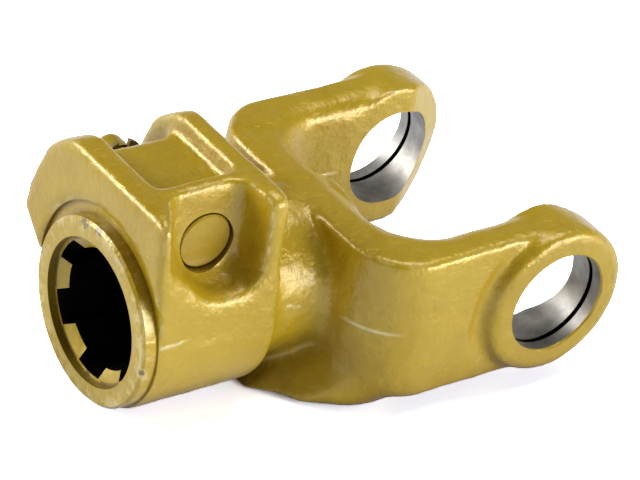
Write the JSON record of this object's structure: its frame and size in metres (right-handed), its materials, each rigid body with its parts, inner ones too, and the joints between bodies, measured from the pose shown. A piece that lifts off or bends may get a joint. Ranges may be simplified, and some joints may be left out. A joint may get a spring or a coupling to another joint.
{
  "type": "splined drive shaft yoke",
  "caption": "Forged fork yoke for a tractor drive shaft, with a splined hub, two bored ears for a joint cross and a spring loaded push pin that locks it on the shaft.",
  "frame": {"origin": "the joint centre, where the axis of the two cross bores meets the axis of the hub", "axes": "+X runs along the hub axis from the splined hub towards the ears, +Y along the cross bores to the side where the pin's thin end stands out, +Z to the side of the pin boss"},
  "size_m": [0.1282, 0.0848, 0.0611],
  "materials": {
    "painted_forging": "gloss",
    "painted_pin": "gloss",
    "spring_steel": "satin"
  },
  "bodies": {
    "forging": {"yoke": "painted_forging", "pin_spring": "spring_steel"},
    "lock": {"lock_pin": "painted_pin", "retaining_ring": "spring_steel"}
  },
  "joints": [
    {"name": "pin_slide", "type": "slide", "parent": "forging", "child": "lock", "axis": [0, -1, 0], "range_m": [0, 0.01], "stiffness_N_per_m": 900, "springref_m": -0.006, "deforming": ["pin_spring"]}
  ]
}
